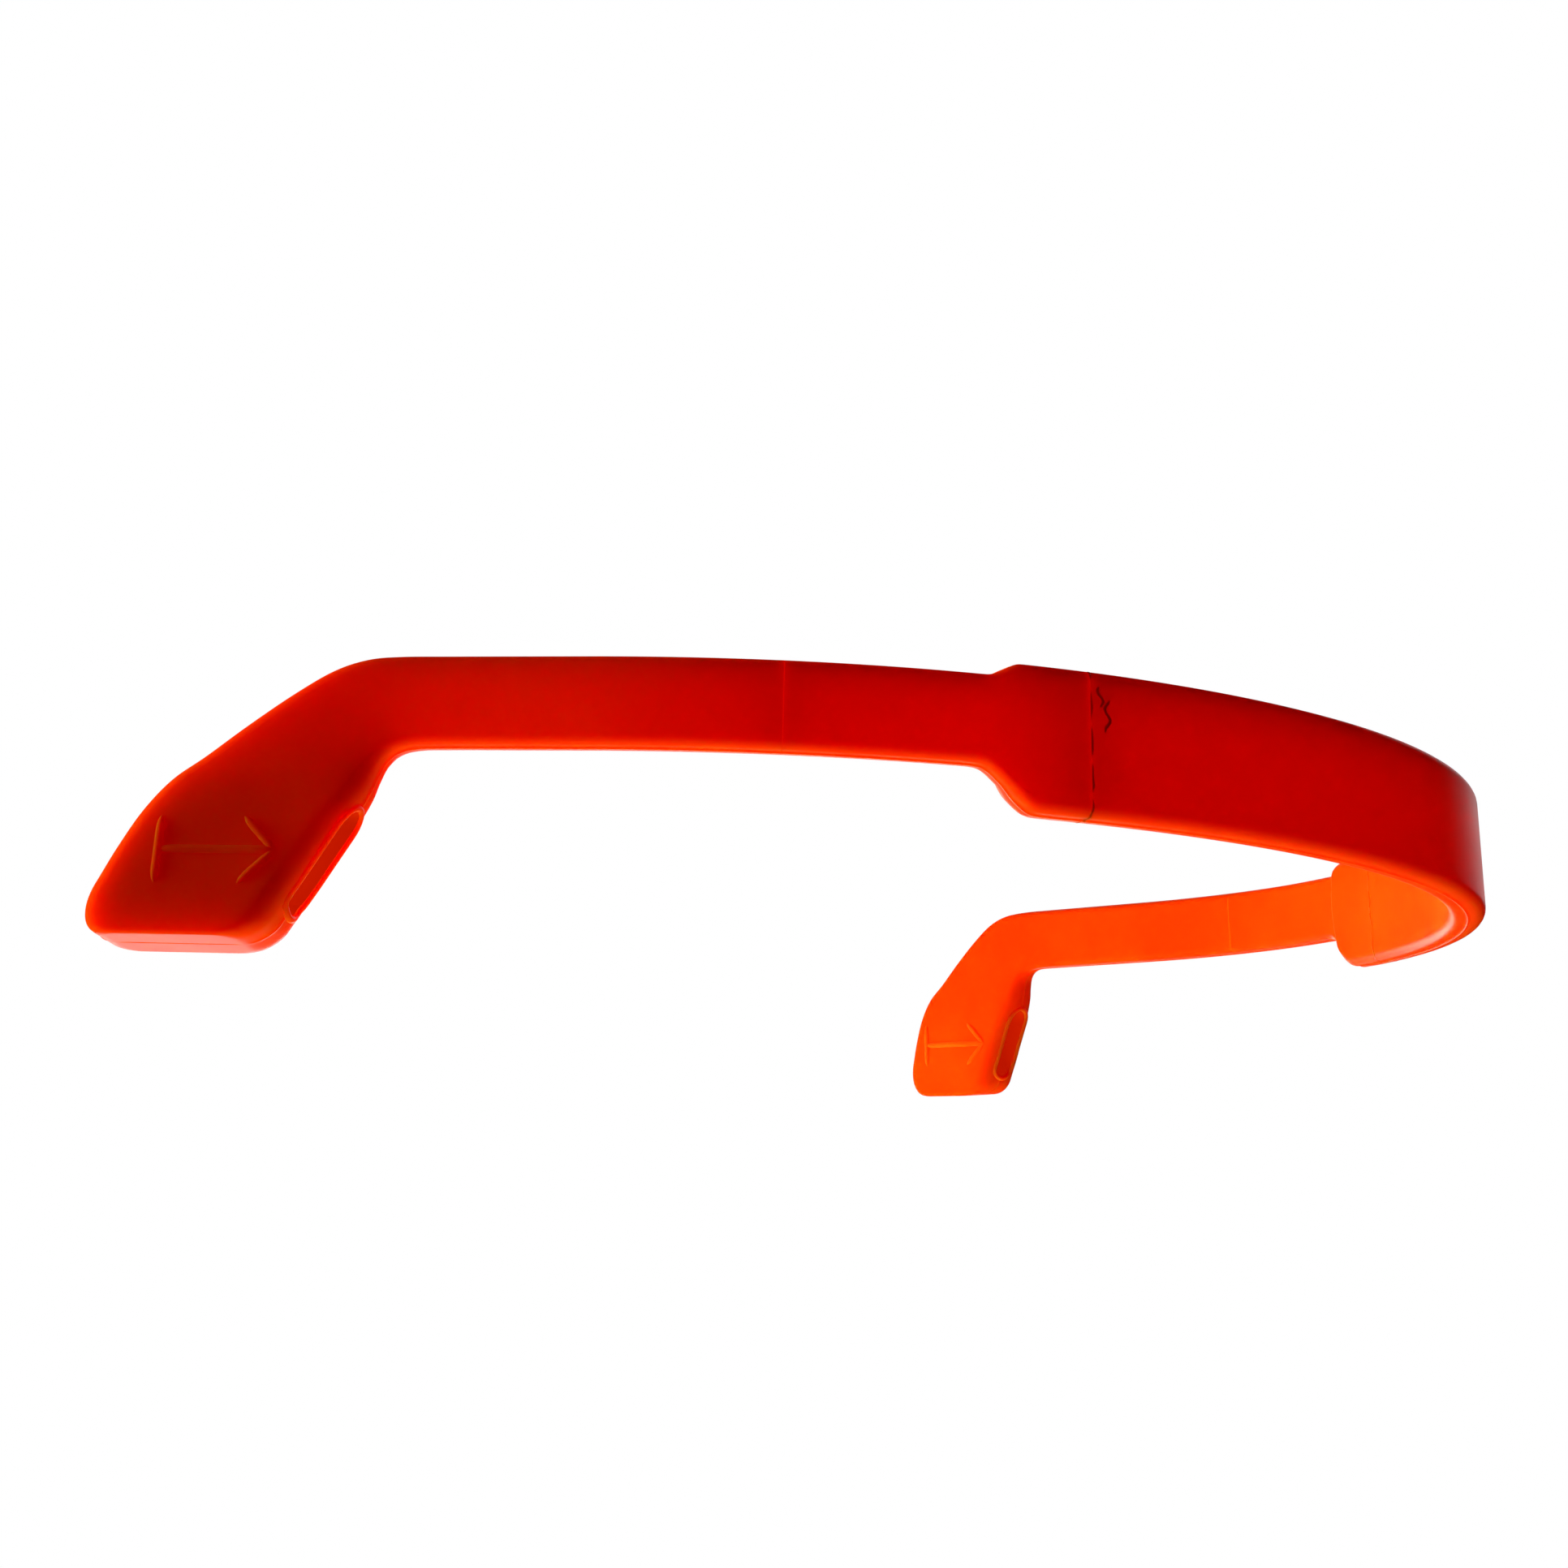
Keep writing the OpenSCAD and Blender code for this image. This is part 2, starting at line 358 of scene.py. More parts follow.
def section(lower, upper, faces, low_round, high_round, trim=(0, 0), cap_in=0):
    """Places round one cross-section, which stands between a lower and an upper edge point.

    lower and upper are (along, up). faces(along, up) gives where the inner and outer faces are.
    trim takes off that much at the lower end and the upper end; cap_in takes it off both faces.
    """
    lower, upper = np.array(lower, float), np.array(upper, float)
    full = np.linalg.norm(upper - lower)
    direction = (upper - lower) / full
    start, end = trim[0], full - trim[1]
    places = []

    def put(along, share, radius=0.0, turn=0.0):
        """share runs from 1 on the outer face to -1 on the inner face."""
        point = lower + direction * along
        inner, outer = faces(*point)
        inner, outer = inner + cap_in, outer - cap_in
        if radius:
            cut = radius * (1 - math.cos(turn))
            out = outer - cut if share > 0 else inner + cut
        else:
            out = (outer + inner) / 2 + share * (outer - inner) / 2
        places.append((point[0], out, point[1]))

    def edge(along, radius, sign):
        """Over an edge's flat, from the outer face to the inner for sign 1 and back for -1."""
        point = lower + direction * along
        inner, outer = faces(*point)
        half = (outer - inner) / 2 - cap_in - radius
        for step in EDGE_STEPS[:: sign]:
            flash = PARTING_HEIGHT * math.exp(-((step * half / PARTING_REACH) ** 2))
            moved = point + direction * sign * flash
            places.append((moved[0], (outer + inner) / 2 + step * half, moved[1]))

    flat = end - start - low_round - high_round
    for i in range(FACE_STEPS):
        put(start + low_round + flat * i / FACE_STEPS, 1)
    for i in range(ROUND_STEPS + 1):
        turn = math.pi / 2 * i / ROUND_STEPS
        put(end - high_round + high_round * math.sin(turn), 1, high_round, turn)
    edge(end, high_round, 1)
    for i in range(ROUND_STEPS + 1):
        turn = math.pi / 2 * (1 - i / ROUND_STEPS)
        put(end - high_round + high_round * math.sin(turn), -1, high_round, turn)
    for i in range(1, FACE_STEPS):
        put(end - high_round - flat * i / FACE_STEPS, -1)
    for i in range(ROUND_STEPS + 1):
        turn = math.pi / 2 * i / ROUND_STEPS
        put(start + low_round - low_round * math.sin(turn), -1, low_round, turn)
    edge(start, low_round, -1)
    for i in range(ROUND_STEPS):
        turn = math.pi / 2 * (1 - i / ROUND_STEPS)
        put(start + low_round - low_round * math.sin(turn), 1, low_round, turn)
    return places


def loft(name, side, sections, joined_ends=()):
    """Piece through cross-sections in order. joined_ends says which ends, 0 and 1, meet others."""
    per_ring = len(sections[0])
    places = [place for ring in sections for place in ring]
    faces = loft_faces(len(sections), per_ring)
    piece = add_piece(name, strap_points(side, places), faces, side)
    piece.data.materials.append(material_for("silicone"))
    if joined_ends:
        piece.data.materials.append(material_for("joining"))
    for end in joined_ends:
        piece.data.polygons[len(faces) - 2 + end].material_index = 1
    return piece


# ---------------------------------------------------------------- pad and side bands

PAD_ROUND = 0.9
BAND_ROUND = 0.7
# Where the pad's upper edge ends; the slopes to the side band are measured from there
PAD_END = SHOULDER_LENGTH - 3.4
UPPER_SLOPE = 1.9
LOWER_SLOPE_START = -1.1
LOWER_SLOPE_END = 2.3
UPPER_SLOPE_ROUND = 0.16
LOWER_SLOPE_ROUND = 0.3
# The step on the inner face: its place past the pad's end, half its width, and how far its middle
# bulges towards the side band over that half height
STEP_PLACE = 0.5
STEP_HALF_WIDTH = 0.35
STEP_BOW = 0.9
STEP_BOW_HALF_HEIGHT = 5
# The arms are bonded on by hand, so each pad end and its seam sit a little differently
PAD_END_SHIFT = {1: 0.3, -1: -2.3}
BOND_SHIFT = {1: 0.8, -1: -3.2}


def soft_ramp(value, start, end, rounding):
    """A straight ramp from 0 to 1 with its two corners rounded off."""
    def hinge(x):
        return rounding * np.logaddexp(0, x / rounding)

    return (hinge(value - start) - hinge(value - end)) / (end - start)


def pad_faces(along, up, end):
    """Inner and outer face of the pad, whose inner face steps out to the side band's at its end."""
    s = sizes()
    half = s.band_thickness / 2 / MM
    step_at = end + STEP_PLACE + STEP_BOW * (1 - (up / STEP_BOW_HALF_HEIGHT) ** 2)
    past = float(smooth(along, step_at - STEP_HALF_WIDTH, step_at + STEP_HALF_WIDTH))
    return -half - s.pad_step / MM * (1 - past), half


def pad_section(along, side=1):
    """Cross-section of the pad, its shoulder or the side band at that distance along."""
    s = sizes()
    half = s.band_height / 2 / MM
    end = PAD_END + PAD_END_SHIFT[side]
    low_start, low_end = end + LOWER_SLOPE_START, end + LOWER_SLOPE_END
    top = float(soft_ramp(along, end, end + UPPER_SLOPE, UPPER_SLOPE_ROUND))
    low = float(soft_ramp(along, low_start, low_end, LOWER_SLOPE_ROUND))
    upper = (s.pad_up / MM) * (1 - top) + half * top
    lower = -(s.pad_down / MM) * (1 - low) - half * low
    high_round = PAD_ROUND * (1 - top) + BAND_ROUND * top
    low_round = PAD_ROUND * (1 - low) + BAND_ROUND * low
    faces = partial(pad_faces, end=end)
    return section((along, lower), (along, upper), faces, low_round, high_round)


def spread(stops, steps):
    """Distances from each stop to the next, each stretch divided by its own step."""
    found = [stops[0]]
    for start, end, step in zip(stops, stops[1:], steps):
        count = max(1, round(abs(end - start) / step))
        found += [start + (end - start) * (i + 1) / count for i in range(count)]
    return found


# Left between pieces that join, so that their end faces don't fall together
SEAM_GAP = 0.01
# Distance between cross-sections along the centre band, at the pad's end, and along the rest
CENTRE_SPACING = 0.9
PAD_END_SPACING = 0.16
BAND_SPACING = 0.7
LONG_BAND_SPACING = 0.8
# How far the close cross-sections reach to each side of the pad's end
PAD_END_BEFORE = 2.5
PAD_END_AFTER = 3.5


def build_centre_band():
    ends = [side * (BOND_LENGTH + BOND_SHIFT[side] - SEAM_GAP) for side in (-1, 1)]
    sections = [pad_section(a) for a in spread(ends, [CENTRE_SPACING])]
    return loft("centre_band", 1, sections, joined_ends=(0, 1))


def build_pad_end(name, side):
    start = BOND_LENGTH + BOND_SHIFT[side] + SEAM_GAP
    end = PAD_END + PAD_END_SHIFT[side]
    stops = [start, end - PAD_END_BEFORE, end + PAD_END_AFTER, SPLIT_LENGTH - SEAM_GAP]
    steps = [BAND_SPACING, PAD_END_SPACING, LONG_BAND_SPACING]
    sections = [pad_section(a, side) for a in spread(stops, steps)]
    piece = loft(name, side, sections, joined_ends=(0, 1))
    for strand in bond_strands(side):
        add_bead(piece, "bond", side, strand, BOND_ACROSS, BOND_HEIGHT, steps=BOND_STEPS)
    return piece


# ---------------------------------------------------------------- neck and sleeve

# Side view of the limb in front of the flex point at its neck, from the side band to the sleeve's
# foot: the lower or rear edge, the upper or front edge, and the roundings along them
LIMB_SIDE = (
    # rear edge        front edge      rear and front rounding, half thickness
    (0.0, -3.25, 0.0, 3.25, 0.7, 0.7, 1.3),
    (5.0, -3.25, 5.0, 3.25, 0.7, 0.7, 1.3),
    (9.5, -3.25, 10.0, 3.25, 0.7, 0.7, 1.3),
    (12.0, -3.3, 13.6, 3.22, 0.7, 0.7, 1.33),
    (13.4, -3.65, 16.0, 2.98, 0.75, 0.75, 1.42),
    (14.3, -4.45, 18.4, 2.1, 0.85, 0.85, 1.58),
    (14.85, -5.6, 21.2, 0.25, 1.0, 1.0, 1.84),
    (15.3, -6.8, 24.2, -2.15, 1.2, 1.1, 2.18),
    (16.0, -8.1, 26.9, -4.5, 1.35, 1.15, 2.5),
    (16.95, -9.7, 29.1, -6.3, 1.45, 1.2, 2.77),
    (18.0, -11.5, 30.9, -8.6, 1.5, 1.2, 2.97),
    (19.1, -13.4, 32.4, -11.3, 1.5, 1.2, 3.1),
    (20.1, -15.0, 33.5, -13.6, 1.5, 1.2, 3.17),
)
FOOT_REAR = (21.7, -17.65)
FOOT_FRONT = (35.5, -17.55)
# Radii of the foot's rear and front corners, and along the foot's edges
REAR_CORNER = 1.7
FRONT_CORNER = 2.9
FOOT_ROUND = 0.4
FOOT_STEPS = 18
# How far the last cross-section, flat on the foot, is drawn in from the one before
FOOT_INSET = 0.12
LIMB_SPACING = 0.5
# Over this stretch in front of the neck's flex point the right limb's flex begins
FLEX_START = 4
FLEX_END = 13
# How the right limb is flexed, per millimetre of height, and how far its foot is drawn back
REAR_SWEEP = 0.15
FRONT_SWEEP = 0.24
FOOT_DRAWN = 2.65


def flat_faces(half):
    """Inner and outer face of a cross-section of the limb with that half thickness."""
    return lambda along, up: (-half, half)


def curve_through(rows, spacing):
    """Rows between those given, on a smooth curve through them, about that far apart."""
    rows = np.array(rows, float)
    padded = np.vstack([2 * rows[0] - rows[1], rows, 2 * rows[-1] - rows[-2]])
    found = [rows[0]]
    for i in range(1, len(rows)):
        a, b, c, d = padded[i - 1: i + 3]
        reach = max(np.linalg.norm((c - b)[:2]), np.linalg.norm((c - b)[2:4]))
        count = max(1, round(reach / spacing))
        for k in range(1, count + 1):
            t = k / count
            found.append(
                0.5 * (2 * b + (c - a) * t + (2 * a - 5 * b + 4 * c - d) * t ** 2
                       + (3 * b - a - 3 * c + d) * t ** 3)
            )
    return np.array(found)


def quarter(distance, radius):
    """How far a rounded corner has cut in at that distance from the end it leads to."""
    if distance >= radius:
        return 0.0
    return radius - math.sqrt(radius ** 2 - (radius - distance) ** 2)


def foot_points(side):
    """The foot's rear and front points in the limb's side view."""
    drawn = FOOT_DRAWN if side < 0 else 0
    return np.array(FOOT_REAR), np.array(FOOT_FRONT) - (drawn, 0)


def limb_rows(side, spacing=None):
    """The limb's side view, with the right limb's slight flex: neck forward and foot drawn back."""
    rows = np.array(LIMB_SIDE) if spacing is None else curve_through(LIMB_SIDE, spacing)
    if side < 0:
        begun = smooth(rows[:, 2], FLEX_START, FLEX_END)
        rows[:, 0] += begun * REAR_SWEEP * (rows[:, 1] - FOOT_REAR[1])
        rows[:, 2] += begun * (FRONT_SWEEP * (rows[:, 3] - FOOT_FRONT[1]) - FOOT_DRAWN)
    return rows


def limb_sections(side):
    """Cross-sections from the neck's flex point to the foot of the sleeve."""
    rows = limb_rows(side, LIMB_SPACING)
    rows[:, [0, 2]] += ARC_LENGTH
    sections = [section(row[0:2], row[2:4], flat_faces(row[6]), row[4], row[5]) for row in rows]
    foot_rear, foot_front = (point + (ARC_LENGTH, 0) for point in foot_points(side))
    last = rows[-1]
    full_half = sizes().sleeve_thickness / 2 / MM
    depth = np.linalg.norm(foot_rear - last[0:2])
    for i in range(1, FOOT_STEPS + 2):
        # Closer together towards the foot, where the corners turn, and a last one flat on the foot
        t = math.sin(math.pi / 2 * min(i / FOOT_STEPS, 1))
        left = depth * (1 - t)
        flat = FOOT_INSET if i > FOOT_STEPS else 0
        sections.append(
            section(
                last[0:2] * (1 - t) + foot_rear * t,
                last[2:4] * (1 - t) + foot_front * t,
                flat_faces(last[6] + (full_half - last[6]) * t),
                last[4],
                last[5],
                trim=(quarter(left, REAR_CORNER) + flat, quarter(left, FRONT_CORNER) + flat),
                cap_in=quarter(left, FOOT_ROUND) + flat,
            )
        )
    return sections


def stadium(width, height, steps=14):
    """Points round an upright slot, (out, up) from its middle."""
    radius = width / 2
    straight = height / 2 - radius
    found = []
    for sign in (1, -1):
        for i in range(steps + 1):
            turn = math.pi * i / steps
            rise = straight + radius * math.sin(turn)
            found.append((sign * radius * math.cos(turn), sign * rise))
        for t in (0.25, 0.5, 0.75):
            found.append((-sign * radius, sign * straight * (1 - 2 * t)))
    return found


def slot_outline(grow=0.0):
    """Points round the slot, (out, up), made larger all round by that much."""
    s = sizes()
    return [
        (out, up - s.slot_drop / MM)
        for out, up in stadium(s.slot_width / MM + 2 * grow, s.slot_height / MM + 2 * grow)
    ]


def face_outwards(piece):
    """Turns a closed piece's faces outwards."""
    work = bmesh.new()
    work.from_mesh(piece.data)
    bmesh.ops.recalc_face_normals(work, faces=work.faces)
    work.to_mesh(piece.data)
    work.free()


def combine(piece, tool, operation):
    """Cuts a tool's shape out of a piece, or joins it to the piece with its own finish."""
    change = piece.modifiers.new(operation.lower(), "BOOLEAN")
    change.operation = operation
    change.solver = "MANIFOLD"
    change.material_mode = "TRANSFER"
    change.object = tool
    bpy.context.view_layer.update()
    changed = piece.evaluated_get(bpy.context.evaluated_depsgraph_get())
    made = bpy.data.meshes.new_from_object(changed)
    piece.modifiers.clear()
    piece.data = made
    bpy.data.objects.remove(tool)
    made.shade_smooth()
    made.set_sharp_from_angle(angle=SHARP)


# Where the cutter for the passage has its cross-sections, from the neck's flex point
CUTTER_PLACES = (8, 16, 24, 32, 44)


def cut_slot(piece, side):
    """Opens the passage for the temple arm through the sleeve."""
    rings = [
        [(ARC_LENGTH + along, out, up) for out, up in slot_outline()] for along in CUTTER_PLACES
    ]
    cutter = loft("slot_cutter", side, rings)
    cutter.data.materials[0] = material_for("passage")
    combine(piece, cutter, "DIFFERENCE")


# Between the side band's last cross-section and the limb's first
NECK_GAP = 0.3


def build_limb(name, side):
    stops = [SPLIT_LENGTH + SEAM_GAP, ARC_LENGTH - NECK_GAP]
    band = [pad_section(a, side) for a in spread(stops, [BAND_SPACING])]
    piece = loft(name, side, band + limb_sections(side), joined_ends=(0,))
    cut_slot(piece, side)
    add_bead(
        piece, "mark", side, foot_strand(side), GROOVE_ACROSS, GROOVE_DEPTH, operation="DIFFERENCE"
    )
    for rear in (True, False):
        add_bead(piece, "mark", side, lip_strand(side, rear), LIP_ACROSS, LIP_HEIGHT)
    for facing in (1, -1):
        for strand in arrow_strands(side, facing):
            add_bead(piece, "mark", side, strand, MARK_HALF_WIDTH, MARK_HEIGHT)
    return piece


# ---------------------------------------------------------------- beads, lips and marks


# Over how many places an open bead tapers off, and the square of its share left at the very end
TAPER_PLACES = 4
TAPER_LEFT = 0.02


def add_bead(piece, kind, side, strand, across, height, steps=10, operation="UNION"):
    """Joins a thin raised bead to a piece, or cuts it in as a groove.

    The strand is (places, outward directions, closed).
    """
    places, outward, closed = strand
    places, outward = np.array(places, float), np.array(outward, float)
    count = len(places)
    if closed:
        ahead = np.roll(places, -1, axis=0) - np.roll(places, 1, axis=0)
    else:
        ahead = np.gradient(places, axis=0)
    ahead /= np.linalg.norm(ahead, axis=1)[:, None]
    sideways = np.cross(ahead, outward)
    sideways /= np.linalg.norm(sideways, axis=1)[:, None]
    points = []
    for i in range(count):
        taper = 1.0
        if not closed:
            near = min(i, count - 1 - i) / TAPER_PLACES
            taper = math.sqrt(max(TAPER_LEFT, 1 - (1 - min(near, 1)) ** 2))
        for k in range(steps):
            turn = 2 * math.pi * k / steps
            rim = sideways[i] * math.cos(turn) * across + outward[i] * math.sin(turn) * height
            points.append(places[i] + rim * taper)
    tool = add_piece("bead", strap_points(side, points), loft_faces(count, steps, closed), side)
    tool.data.materials.append(material_for(kind))
    face_outwards(tool)
    combine(piece, tool, operation)


# The first of the limb's rows that is on the sleeve, and the one a lip's slope is taken from
SLEEVE_ROW = 7
LIP_ROW = 9


def rail_along(side, up, rear):
    """Distance along the strap of the sleeve's rear or front edge at that height.

    Below the last of the limb's rows it is that row's.
    """
    rows = limb_rows(side)[SLEEVE_ROW:]
    alongs, ups = (rows[:, 0], rows[:, 1]) if rear else (rows[:, 2], rows[:, 3])
    order = np.argsort(ups)
    return ARC_LENGTH + float(np.interp(up, ups[order], alongs[order]))


GROOVE_ACROSS = 0.14
GROOVE_DEPTH = 0.2
GROOVE_PLACES = 24


def foot_strand(side):
    """Path of the parting groove along the middle of the sleeve's foot."""
    rear, front = foot_points(side)
    line = np.linspace(rear + (REAR_CORNER, 0), front - (FRONT_CORNER, 0), GROOVE_PLACES)
    places = [(ARC_LENGTH + along, 0, up) for along, up in line]
    return places, [(0, 0, -1)] * len(places), False


LIP_ACROSS = 0.27
LIP_HEIGHT = 0.22
# How far the lip's path keeps from the slot, and how deep it lies in the sleeve's edge
LIP_MARGIN = 0.24
LIP_SUNK = 0.02


def lip_strand(side, rear):
    """Path of the raised lip round the slot's rear or front mouth."""
    places, outward = [], []
    rows = limb_rows(side)
    edge = rows[-1] - rows[LIP_ROW]
    edge = edge[0:2] if rear else edge[2:4]
    edge /= np.linalg.norm(edge)
    facing = (edge[1], -edge[0]) if rear else (-edge[1], edge[0])
    for out, up in slot_outline(LIP_MARGIN):
        along = rail_along(side, up, rear)
        places.append((along - facing[0] * LIP_SUNK, out, up - facing[1] * LIP_SUNK))
        outward.append((facing[0], 0, facing[1]))
    return places, outward, True


def half_at(side, along, up):
    """Half of the sleeve's thickness at a place on its faces."""
    rows = limb_rows(side, LIMB_SPACING)
    directions = rows[:, 2:4] - rows[:, 0:2]
    offsets = np.array((along, up)) - rows[:, 0:2]
    beside = directions[:, 0] * offsets[:, 1] - directions[:, 1] * offsets[:, 0]
    beside /= np.linalg.norm(directions, axis=1)
    nearest = np.argsort(np.abs(beside))[:2]
    weights = np.abs(beside[nearest][::-1])
    return float(np.sum(rows[nearest, 6] * weights) / np.sum(weights))


ARROW_TIP = (20.7, -11.6)
ARROW_SHAFT = 8.4
ARROW_HEAD = 2.4
MARK_HALF_WIDTH = 0.3
MARK_HEIGHT = 0.2
MARK_SPACING = 0.25
MARK_LEAST_PLACES = 12


def arrow_strands(side, facing):
    """Arrow along the way a temple arm goes in, with a bar at its tail, on one face of a sleeve."""
    tip = np.array(ARROW_TIP)
    tail = tip + (ARROW_SHAFT, 0)
    lines = [
        (tip, tail),
        (tip, tip + (ARROW_HEAD, ARROW_HEAD)),
        (tip, tip + (ARROW_HEAD, -ARROW_HEAD)),
        (tail + (0, -ARROW_HEAD), tail + (0, ARROW_HEAD)),
    ]
    strands = []
    for start, end in lines:
        count = max(MARK_LEAST_PLACES, int(np.linalg.norm(end - start) / MARK_SPACING))
        places, outward = [], []
        for t in np.linspace(0, 1, count):
            along, up = start + (end - start) * t
            places.append((ARC_LENGTH + along, facing * half_at(side, along, up), up))
            outward.append((0, facing, 0))
        strands.append((places, outward, False))
    return strands


BOND_ACROSS = 0.13
BOND_HEIGHT = 0.06
BOND_STEPS = 8
BOND_SUNK = 0.03
# Small runs of bonding silicone beside the seam, near the pad's upper edge: the height where each
# starts and ends, and its place from the seam
BOND_RUNS = ((3.1, 1.5, -0.75), (2.2, -0.4, -1.3))
RUN_PLACES = 16
RUN_WANDER = 0.22
RUN_SUNK = 0.02


def bond_strands(side):
    """Squeezed-out bead round the pad where the arm is bonded to the centre band, and its runs."""
    seam = BOND_LENGTH + BOND_SHIFT[side]
    ring = np.array(pad_section(seam, side))
    middle = ring.mean(axis=0)
    ahead = np.roll(ring, -1, axis=0) - np.roll(ring, 1, axis=0)
    outward = np.cross(ahead, (1, 0, 0))
    outward /= np.linalg.norm(outward, axis=1)[:, None]
    if np.sum((ring - middle) * outward) < 0:
        outward = -outward
    # The bead wanders a little to both sides of the seam
    up = ring[:, 2]
    wander = 0.1 * np.sin(up * 2.3 + side) + 0.07 * np.sin(up * 5.1 + 2) + 0.04 * np.sin(up * 9.7)
    ring[:, 0] += wander
    strands = [(ring - outward * BOND_SUNK, outward, True)]
    out = sizes().band_thickness / 2 / MM - RUN_SUNK
    for start, end, shift in BOND_RUNS:
        run = [
            (seam + shift + RUN_WANDER * math.sin(up_here * 4 + start), out, up_here)
            for up_here in np.linspace(start, end, RUN_PLACES)
        ]
        strands.append((run, [(0, 1, 0)] * len(run), False))
    return strands


# ---------------------------------------------------------------- materials


class Wire:
    """One output of a shader node, on which ordinary arithmetic works."""

    def __init__(self, shader, made, output=0):
        self.shader = shader
        self.made = made
        self.socket = made.outputs[output] if made.outputs else None

    def out(self, name):
        return Wire(self.shader, self.made, name)

    def maths(self, operation, first, second):
        return self.shader.node("ShaderNodeMath", {"operation": operation}, {0: first, 1: second})

    def __add__(self, other):
        return self.maths("ADD", self, other)

    def __radd__(self, other):
        return self.maths("ADD", other, self)

    def __mul__(self, other):
        return self.maths("MULTIPLY", self, other)

    def __rmul__(self, other):
        return self.maths("MULTIPLY", other, self)


class Shader:
    """Node tree of a material or a world, empty to begin with."""

    def __init__(self, owner):
        owner.use_nodes = True
        self.tree = owner.node_tree
        self.tree.nodes.clear()

    def node(self, kind, settings=None, values=None):
        """Adds a node: its settings first, then the values or links of its sockets."""
        made = self.tree.nodes.new(kind)
        for key, value in (settings or {}).items():
            if key == "stops":
                ramp = made.color_ramp
                while len(ramp.elements) < len(value):
                    ramp.elements.new(0.5)
                for element, (position, colour) in zip(ramp.elements, value):
                    element.position = position
                    element.color = colour
            else:
                setattr(made, key, value)
        for key, value in (values or {}).items():
            if isinstance(value, Wire):
                self.tree.links.new(value.socket, made.inputs[key])
            else:
                made.inputs[key].default_value = value
        return Wire(self, made)

    def noise(self, places, scale, detail, roughness):
        return self.node(
            "ShaderNodeTexNoise",
            {},
            {"Vector": places, "Scale": scale, "Detail": detail, "Roughness": roughness},
        )

    def rise(self, value, start, end, shape="LINEAR"):
        """From 0 to 1 as the value goes from start to end."""
        return self.node(
            "ShaderNodeMapRange",
            {"clamp": True, "interpolation_type": shape},
            {0: value, 1: start, 2: end, 3: 0.0, 4: 1.0},
        )

    def mix_colours(self, share, first, second):
        """From the first colour to the second as share goes from 0 to 1."""
        # Sockets 6 and 7 are the node's two colours, and its output 2 is the colour mixed
        made = self.node(
            "ShaderNodeMix",
            {"data_type": "RGBA", "clamp_factor": True},
            {0: share, 6: first, 7: second},
        )
        return made.out(2)


def rgba(colour):
    return (*colour, 1.0)


# Sizes of the noise, in repeats per metre: clouds in the colour, fine skin and slow ripple
CLOUD_SCALE = 95.0
SKIN_SCALE = 1500.0
RIPPLE_SCALE = 240.0
BUMP_STRENGTH = 0.22
BUMP_DISTANCE = 0.00006
SILICONE_IOR = 1.41
# Spread of red, green and blue light inside the silicone, as shares of the red's
SPREAD = (1.0, 0.07, 0.015)
# The bonding silicone is glossier than the moulded skin
BOND_ROUGHNESS = 0.28
BOND_COAT = 0.2
# Colour of the painted red glow on inner faces, which stands in for light that has come a long way
# through the silicone
PAINTED_GLOW_COLOUR = (1.0, 0.02, 0.0)


def silicone_material(name, light, dense, roughness, coat=0.0):
    """Satin translucent silicone: faint clouds in its colour and a fine moulded skin."""
    finish = bpy.context.scene.strap_finish
    material = bpy.data.materials.new(name)
    shader = Shader(material)
    places = shader.node("ShaderNodeTexCoord").out("Object")
    clouds = shader.noise(places, CLOUD_SCALE, 3.0, 0.55)
    skin = shader.noise(places, SKIN_SCALE, 4.0, 0.6)
    ripple = shader.noise(places, RIPPLE_SCALE, 2.0, 0.5)
    colour = shader.mix_colours(shader.rise(clouds, 0.35, 0.65), rgba(light), rgba(dense))
    rough = roughness - 0.05 + 0.07 * clouds + 0.04 * skin
    height = skin * 0.35 + ripple
    bump = shader.node(
        "ShaderNodeBump",
        {},
        {"Strength": BUMP_STRENGTH, "Distance": BUMP_DISTANCE, "Height": height},
    )
    shine = shader.node(
        "ShaderNodeBsdfPrincipled",
        {"subsurface_method": "RANDOM_WALK"},
        {
            "Base Color": colour,
            "Roughness": rough,
            "Normal": bump,
            "IOR": SILICONE_IOR,
            "Specular IOR Level": 0.2,
            "Subsurface Weight": 1.0,
            "Subsurface Radius": SPREAD,
            "Subsurface Scale": finish.depth,
            "Subsurface Anisotropy": 0.2,
            "Coat Weight": coat,
            "Coat Roughness": 0.2,
        },
    )
    shader.node("ShaderNodeOutputMaterial", {}, {"Surface": shine})
    material.diffuse_color = rgba(light)
    return material


def painted_glow_material(name, colour, brightness):
    """Inner face with a painted red glow, which stands in for light passed on in the silicone, to a
    joined piece or across a passage.
    """
    material = bpy.data.materials.new(name)
    shader = Shader(material)
    shine = shader.node(
        "ShaderNodeBsdfPrincipled",
        {},
        {
            "Base Color": rgba(colour),
            "Roughness": 0.6,
            "Specular IOR Level": 0.0,
            "Emission Color": rgba(PAINTED_GLOW_COLOUR),
            "Emission Strength": brightness,
        },
    )
    shader.node("ShaderNodeOutputMaterial", {}, {"Surface": shine})
    return material


MATERIALS = {}


